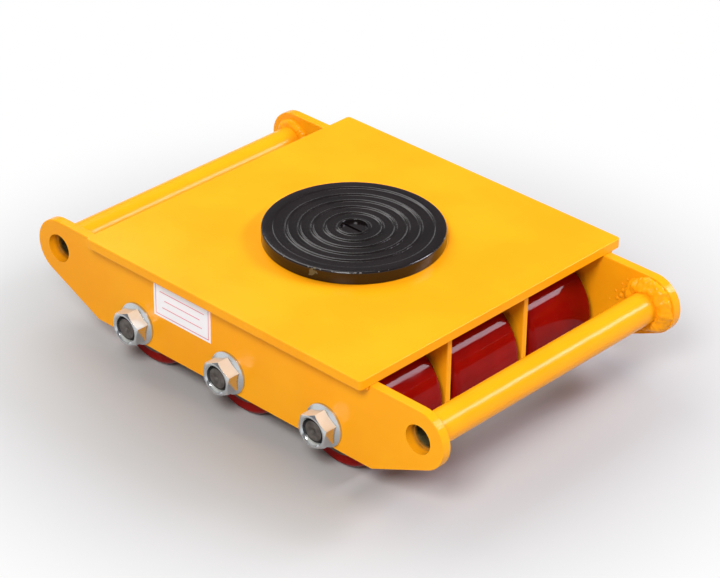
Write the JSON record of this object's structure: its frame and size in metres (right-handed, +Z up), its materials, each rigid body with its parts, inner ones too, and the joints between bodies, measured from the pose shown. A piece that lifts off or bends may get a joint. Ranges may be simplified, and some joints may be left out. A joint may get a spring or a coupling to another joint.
{
  "type": "machine skate",
  "caption": "Low steel roller skate for moving heavy machines: welded frame with end handles, polyurethane rollers on fixed axles and a ridged swivel disc.",
  "frame": {"origin": "on the ground, under the middle of the middle roller", "axes": "+X along the travel direction, +Y along the axles, +Z up"},
  "size_m": [0.422, 0.291, 0.111],
  "materials": {
    "yellow_enamel": "gloss enamel",
    "red_polyurethane": "gloss cast polyurethane",
    "hub_steel": "turned, oiled",
    "bearing_steel": "ground",
    "seal_rubber": "matt",
    "axle_steel": "dull turned",
    "zinc_plate": "bright zinc",
    "black_enamel": "semi-gloss enamel",
    "washer_brass": "plain",
    "label_film": "blank film"
  },
  "bodies": {
    "frame": {"top_plate": "yellow_enamel", "side_plate_left": "yellow_enamel", "side_plate_right": "yellow_enamel", "inner_web_left": "yellow_enamel", "inner_web_right": "yellow_enamel", "cross_webs": "yellow_enamel", "handle_tube_front": "yellow_enamel", "handle_tube_rear": "yellow_enamel", "top_plate_welds": "yellow_enamel", "handle_welds": "yellow_enamel", "web_welds": "yellow_enamel", "axle_front": "axle_steel", "axle_middle": "axle_steel", "axle_rear": "axle_steel", "axle_nuts": "zinc_plate", "axle_spacers": "axle_steel", "hub_spacers": "axle_steel", "bearing_inner_rings": "bearing_steel", "bearing_balls": "bearing_steel", "bearing_cages": "bearing_steel", "pivot_screw": "black_enamel", "thrust_washer": "washer_brass", "blank_label": "label_film"},
    "swivel": {"swivel_disc": "black_enamel"},
    "roller_rear_right": {"tread_rear_right": "red_polyurethane", "hub_rear_right": "hub_steel", "outer_rings_rear_right": "bearing_steel", "seals_rear_right": "seal_rubber"},
    "roller_rear_centre": {"tread_rear_centre": "red_polyurethane", "hub_rear_centre": "hub_steel", "outer_rings_rear_centre": "bearing_steel", "seals_rear_centre": "seal_rubber"},
    "roller_rear_left": {"tread_rear_left": "red_polyurethane", "hub_rear_left": "hub_steel", "outer_rings_rear_left": "bearing_steel", "seals_rear_left": "seal_rubber"},
    "roller_middle_right": {"tread_middle_right": "red_polyurethane", "hub_middle_right": "hub_steel", "outer_rings_middle_right": "bearing_steel", "seals_middle_right": "seal_rubber"},
    "roller_middle_centre": {"tread_middle_centre": "red_polyurethane", "hub_middle_centre": "hub_steel", "outer_rings_middle_centre": "bearing_steel", "seals_middle_centre": "seal_rubber"},
    "roller_middle_left": {"tread_middle_left": "red_polyurethane", "hub_middle_left": "hub_steel", "outer_rings_middle_left": "bearing_steel", "seals_middle_left": "seal_rubber"},
    "roller_front_right": {"tread_front_right": "red_polyurethane", "hub_front_right": "hub_steel", "outer_rings_front_right": "bearing_steel", "seals_front_right": "seal_rubber"},
    "roller_front_centre": {"tread_front_centre": "red_polyurethane", "hub_front_centre": "hub_steel", "outer_rings_front_centre": "bearing_steel", "seals_front_centre": "seal_rubber"},
    "roller_front_left": {"tread_front_left": "red_polyurethane", "hub_front_left": "hub_steel", "outer_rings_front_left": "bearing_steel", "seals_front_left": "seal_rubber"}
  },
  "joints": [
    {"name": "swivel_turn", "type": "hinge", "parent": "frame", "child": "swivel", "pos_m": [0, 0, 0.1005], "axis": [0, 0, 1], "continuous": true},
    {"name": "roll_rear_right", "type": "hinge", "parent": "frame", "child": "roller_rear_right", "pos_m": [-0.0985, -0.084, 0.04], "axis": [0, 1, 0], "continuous": true},
    {"name": "roll_rear_centre", "type": "hinge", "parent": "frame", "child": "roller_rear_centre", "pos_m": [-0.0985, 0, 0.04], "axis": [0, 1, 0], "continuous": true},
    {"name": "roll_rear_left", "type": "hinge", "parent": "frame", "child": "roller_rear_left", "pos_m": [-0.0985, 0.084, 0.04], "axis": [0, 1, 0], "continuous": true},
    {"name": "roll_middle_right", "type": "hinge", "parent": "frame", "child": "roller_middle_right", "pos_m": [0, -0.084, 0.04], "axis": [0, 1, 0], "continuous": true},
    {"name": "roll_middle_centre", "type": "hinge", "parent": "frame", "child": "roller_middle_centre", "pos_m": [0, 0, 0.04], "axis": [0, 1, 0], "continuous": true},
    {"name": "roll_middle_left", "type": "hinge", "parent": "frame", "child": "roller_middle_left", "pos_m": [0, 0.084, 0.04], "axis": [0, 1, 0], "continuous": true},
    {"name": "roll_front_right", "type": "hinge", "parent": "frame", "child": "roller_front_right", "pos_m": [0.0985, -0.084, 0.04], "axis": [0, 1, 0], "continuous": true},
    {"name": "roll_front_centre", "type": "hinge", "parent": "frame", "child": "roller_front_centre", "pos_m": [0.0985, 0, 0.04], "axis": [0, 1, 0], "continuous": true},
    {"name": "roll_front_left", "type": "hinge", "parent": "frame", "child": "roller_front_left", "pos_m": [0.0985, 0.084, 0.04], "axis": [0, 1, 0], "continuous": true}
  ]
}
